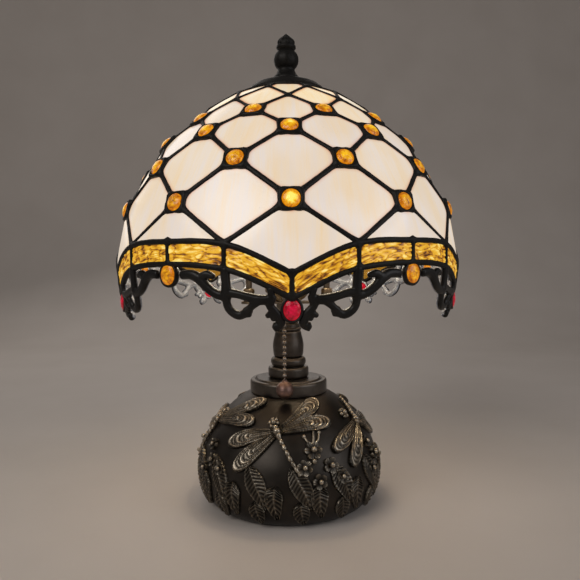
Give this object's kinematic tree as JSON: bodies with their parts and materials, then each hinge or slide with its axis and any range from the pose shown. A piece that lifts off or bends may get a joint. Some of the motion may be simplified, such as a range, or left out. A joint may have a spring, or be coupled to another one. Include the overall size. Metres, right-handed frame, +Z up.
{
  "type": "stained glass table lamp",
  "caption": "Table lamp with a domed leaded-glass shade over a cast filigree skirt, on a harp, a pull-chain socket, a turned neck and a squat relief-cast base.",
  "frame": {"origin": "centre of the base's underside, on the table", "axes": "+Z up the lamp's axis; -Y is the lamp's front, with the pull chain and the skirt's lowest point; +X is to the right seen from the front"},
  "size_m": [0.255, 0.2564, 0.356],
  "materials": {
    "cast_bronze": "antique bronze over a smooth cast body, satin",
    "relief_bronze": "antique bronze with dry-brushed pale brass on its raised edges",
    "neck_bronze": "satin dark bronze",
    "weight_iron": "rough cast",
    "felt": "felt",
    "grommet_rubber": "matt black",
    "brass": "aged brass",
    "steel": "zinc plated",
    "socket_brass": "satin brass",
    "fibre": "black fibre",
    "porcelain": "glazed",
    "chain_metal": "aged copper bronze",
    "ball_copper": "aged copper, satin",
    "bulb_glass": "warm frosted glass, lit",
    "bulb_cap": "bright rolled thread",
    "bulb_stem": "glowing filament sticks on a stem",
    "cap_black": "black bronze, low gloss",
    "opal_glass": "opalescent cream sheet glass with faint upright streaks",
    "opal_glass_warm": "opalescent warm cream sheet glass with faint upright streaks",
    "band_glass": "rippled hammered amber sheet glass",
    "amber_jewel": "pressed amber glass jewel",
    "ruby_jewel": "pressed ruby glass jewel",
    "lead": "soldered lead with a black patina",
    "filigree_black": "cast metal lace with a black patina"
  },
  "bodies": {
    "root": {"base_shell": "cast_bronze", "base_relief": "relief_bronze", "base_weight": "weight_iron", "felt_pad": "felt", "cord_grommet": "grommet_rubber", "base_lid": "neck_bronze", "neck_foot": "neck_bronze", "neck_barrel": "neck_bronze", "neck_collar": "neck_bronze", "neck_riser": "brass", "centre_pipe": "brass", "pipe_nuts": "brass", "pipe_washer": "steel", "harp_saddle": "brass", "harp_legs": "brass", "harp_wire": "brass", "harp_stud": "brass", "socket_cap": "socket_brass", "socket_shell": "socket_brass", "socket_liner": "fibre", "socket_core": "porcelain", "screw_shell": "brass", "centre_contact": "brass", "switch_spout": "socket_brass"},
    "harp_ferrule_left": {"harp_ferrule_left": "brass"},
    "harp_ferrule_right": {"harp_ferrule_right": "brass"},
    "pull_link": {"pull_link": "chain_metal"},
    "chain_coupling": {"chain_coupling": "chain_metal"},
    "pull_chain": {"pull_chain": "chain_metal", "chain_ball": "ball_copper"},
    "bulb": {"bulb_glass": "bulb_glass", "bulb_base": "bulb_cap", "bulb_stem": "bulb_stem"},
    "shade": {"shade_cap": "cap_black", "point_glass": "opal_glass", "arch_glass": "opal_glass", "glass_row_1": "opal_glass", "glass_row_2": "opal_glass", "glass_row_3": "opal_glass_warm", "glass_row_4": "opal_glass_warm", "glass_row_5": "opal_glass_warm", "crown_glass": "opal_glass_warm", "band_glass": "band_glass", "amber_jewels": "amber_jewel", "drop_jewels": "amber_jewel", "ruby_jewels": "ruby_jewel", "jewel_bezels": "lead", "drop_bezels": "lead", "ruby_bezels": "lead", "lattice_lead": "lead", "band_lead": "lead", "filigree": "filigree_black"},
    "finial": {"finial": "cap_black"}
  },
  "joints": [
    {"name": "shade_turn", "type": "hinge", "parent": "root", "child": "shade", "pos_m": [0, 0, 0.32], "axis": [0, 0, 1], "continuous": true},
    {"name": "finial_turn", "type": "hinge", "parent": "root", "child": "finial", "pos_m": [0, 0, 0.33], "axis": [0, 0, 1], "continuous": true},
    {"name": "bulb_turn", "type": "hinge", "parent": "root", "child": "bulb", "pos_m": [0, 0, 0.19], "axis": [0, 0, 1], "continuous": true},
    {"name": "switch_pull", "type": "slide", "parent": "root", "child": "pull_link", "axis": [0, 0, -1], "range_m": [0, 0.004], "stiffness_N_per_m": 300, "springref_m": -0.002},
    {"name": "chain_swing_out", "type": "hinge", "parent": "pull_link", "child": "chain_coupling", "pos_m": [-0.00346, -0.03804, 0.1704], "axis": [0.9959, -0.0906, 0], "range_deg": [-45, 0.8]},
    {"name": "chain_swing_side", "type": "hinge", "parent": "chain_coupling", "child": "pull_chain", "pos_m": [-0.00346, -0.03804, 0.1704], "axis": [0.0906, 0.9959, 0], "range_deg": [-40, 40]},
    {"name": "ferrule_left_lift", "type": "slide", "parent": "root", "child": "harp_ferrule_left", "axis": [0, 0, 1], "range_m": [0, 0.008]},
    {"name": "ferrule_right_lift", "type": "slide", "parent": "root", "child": "harp_ferrule_right", "axis": [0, 0, 1], "range_m": [0, 0.008]}
  ]
}
